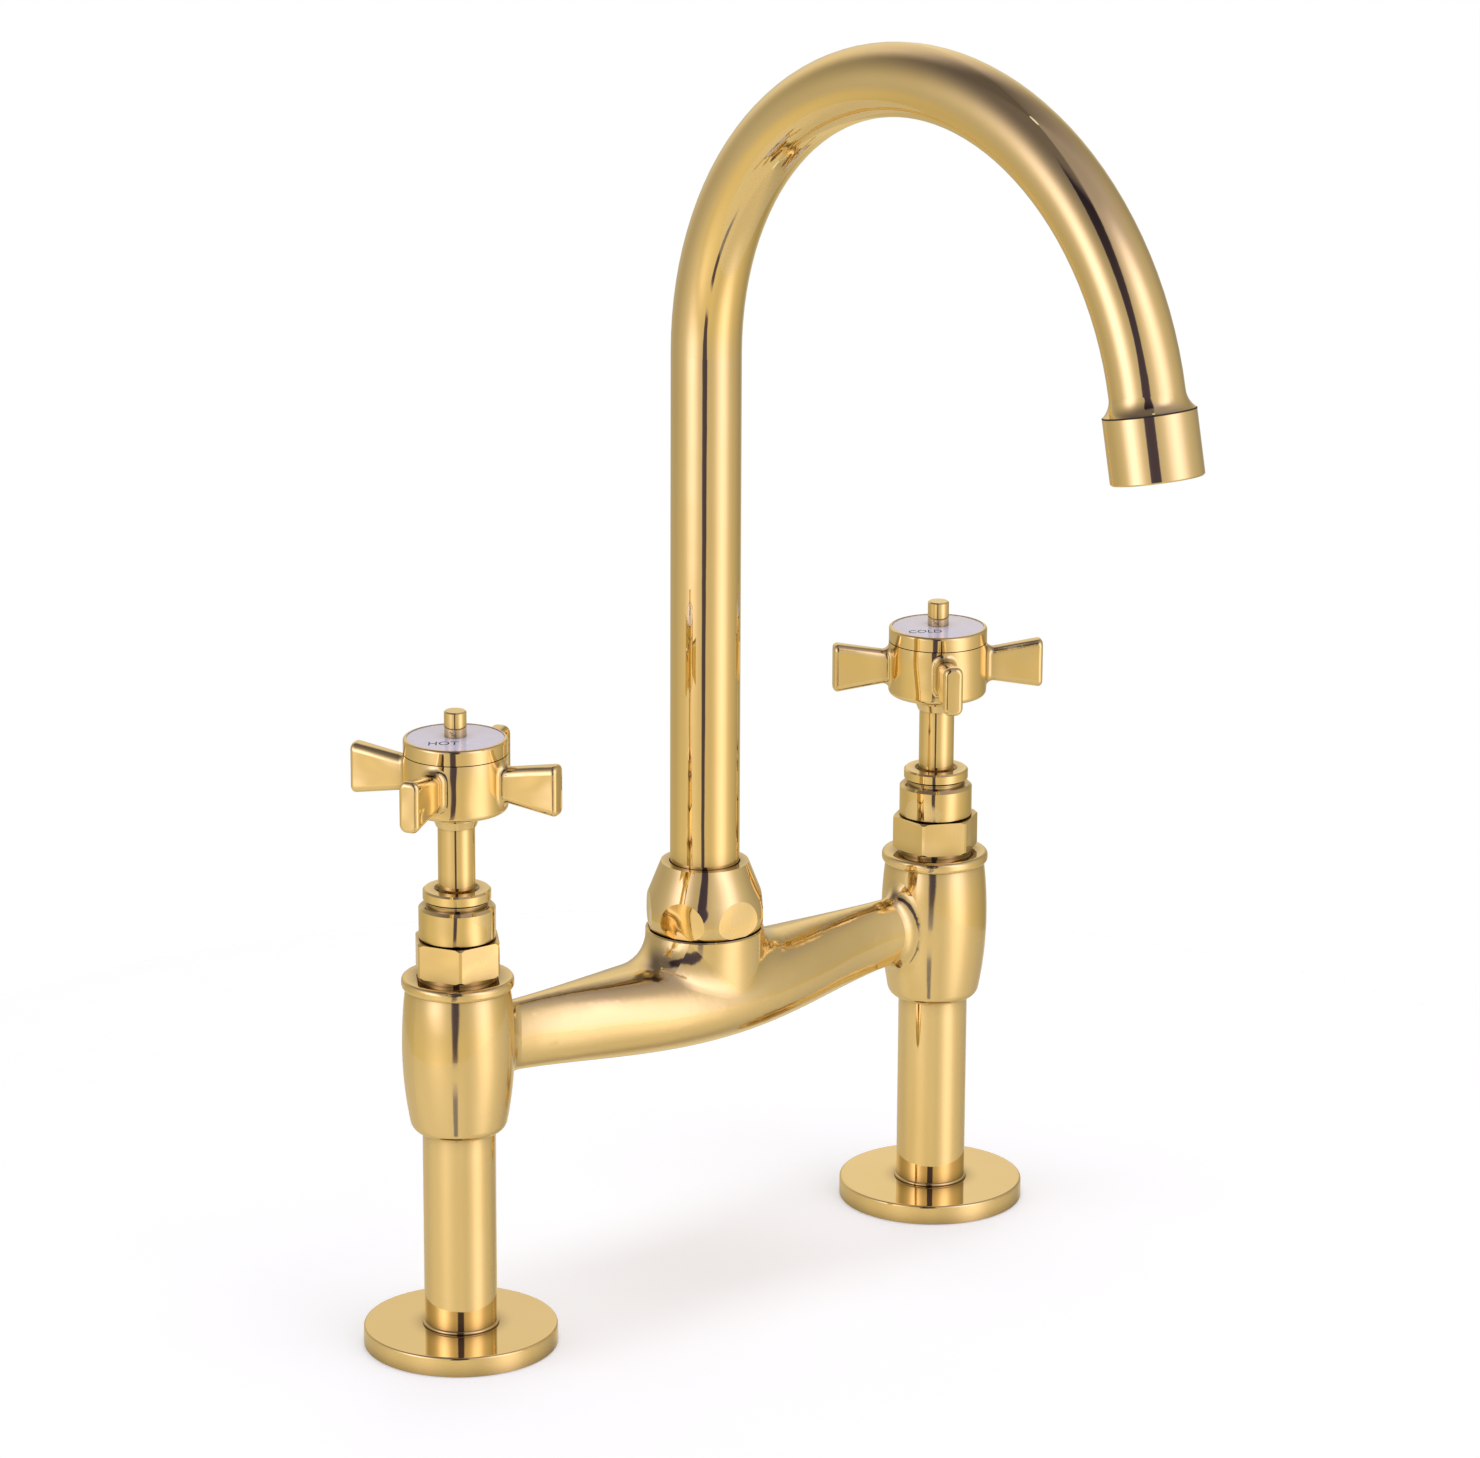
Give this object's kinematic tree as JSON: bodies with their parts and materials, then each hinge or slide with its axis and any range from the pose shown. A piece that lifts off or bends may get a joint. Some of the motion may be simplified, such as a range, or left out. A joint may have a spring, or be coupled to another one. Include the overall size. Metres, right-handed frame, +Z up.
{
  "type": "bridge kitchen mixer tap",
  "caption": "Deck-mounted brass bridge mixer tap: pillars on round flanges, cast bridge, cross-handled valves and a swivelling gooseneck spout that mixes hot and cold water.",
  "frame": {"origin": "on the deck, midway between the two pillar inlets", "axes": "+X from the hot pillar to the cold one, -Y the way the spout points, +Z up"},
  "size_m": [0.2357, 0.2175, 0.3686],
  "materials": {
    "polished_brass": "polished",
    "index_enamel": "glossy",
    "valve_ceramic": "lapped",
    "rubber": "matt",
    "white_polymer": "matt",
    "grey_polymer": "matt",
    "spring_steel": "bright"
  },
  "bodies": {
    "tap_body": {"bridge_body": "polished_brass", "swivel_nut": "polished_brass", "hot_base_flange": "polished_brass", "hot_base_gasket": "rubber", "hot_pillar": "polished_brass", "hot_pillar_seal": "rubber", "hot_bonnet": "polished_brass", "hot_bonnet_seal": "rubber", "hot_gland_sleeve": "polished_brass", "hot_gland_nut": "polished_brass", "hot_gland_packing": "white_polymer", "hot_fixed_disc": "valve_ceramic", "hot_seat_seal": "rubber", "cold_base_flange": "polished_brass", "cold_base_gasket": "rubber", "cold_pillar": "polished_brass", "cold_pillar_seal": "rubber", "cold_bonnet": "polished_brass", "cold_bonnet_seal": "rubber", "cold_gland_sleeve": "polished_brass", "cold_gland_nut": "polished_brass", "cold_gland_packing": "white_polymer", "cold_fixed_disc": "valve_ceramic", "cold_seat_seal": "rubber"},
    "spout": {"spout_tube": "polished_brass", "spout_spigot": "polished_brass", "spout_seals": "rubber", "thrust_washer": "white_polymer", "nozzle_sleeve": "polished_brass", "aerator_washer": "rubber", "aerator_insert": "grey_polymer"},
    "hot_valve": {"hot_spindle": "polished_brass", "hot_spindle_seals": "rubber", "hot_circlip": "spring_steel", "hot_moving_disc": "valve_ceramic", "hot_handle": "polished_brass", "hot_bezel": "polished_brass", "hot_index_disc": "index_enamel", "hot_handle_screw": "polished_brass"},
    "cold_valve": {"cold_spindle": "polished_brass", "cold_spindle_seals": "rubber", "cold_circlip": "spring_steel", "cold_moving_disc": "valve_ceramic", "cold_handle": "polished_brass", "cold_bezel": "polished_brass", "cold_index_disc": "index_enamel", "cold_handle_screw": "polished_brass"}
  },
  "joints": [
    {"name": "spout_swivel", "type": "hinge", "parent": "tap_body", "child": "spout", "pos_m": [0, 0, 0.105], "axis": [0, 0, 1], "continuous": true},
    {"name": "hot_handle_turn", "type": "hinge", "parent": "tap_body", "child": "hot_valve", "pos_m": [-0.09, 0, 0.105], "axis": [0, 0, 1], "range_deg": [0, 90]},
    {"name": "cold_handle_turn", "type": "hinge", "parent": "tap_body", "child": "cold_valve", "pos_m": [0.09, 0, 0.105], "axis": [0, 0, 1], "range_deg": [-90, 0]}
  ]
}
